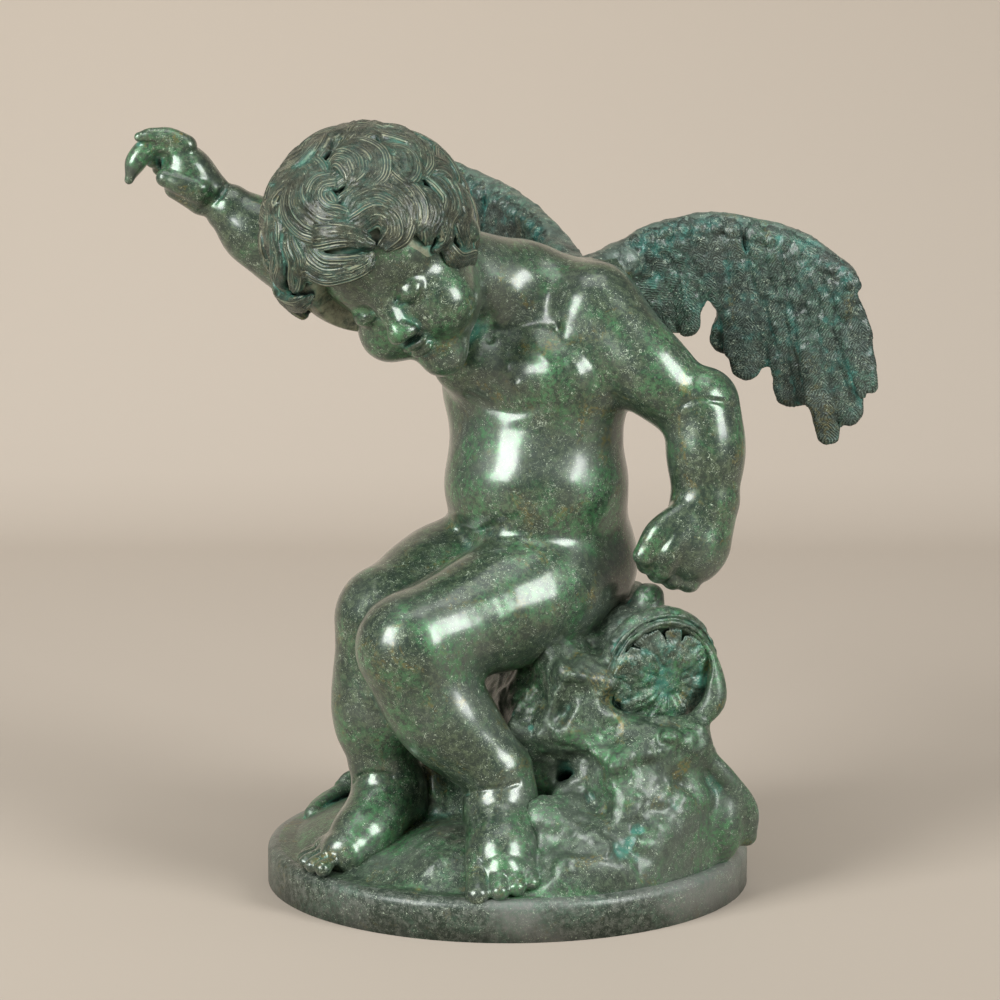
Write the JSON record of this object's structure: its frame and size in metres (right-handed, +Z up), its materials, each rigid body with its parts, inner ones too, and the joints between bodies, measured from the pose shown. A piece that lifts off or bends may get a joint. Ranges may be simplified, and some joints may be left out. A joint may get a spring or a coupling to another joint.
{
  "type": "seated putto statue",
  "caption": "Bronze figure of a winged toddler seated on rock, head bowed and one arm stretched out, cast with a round plinth.",
  "frame": {"origin": "middle of the plinth's flat underside", "axes": "+Z up; seen along +Y the figure bends its head and stretches its right arm towards -X, and its left wing points to +X"},
  "size_m": [0.6562, 0.4628, 0.6677],
  "materials": {
    "bronze": "dark green patinated bronze, polished and waxed on the smooth forms, mottled with pale verdigris in the hollows"
  },
  "bodies": {
    "root": {"putto_statue": "bronze"}
  },
  "joints": []
}
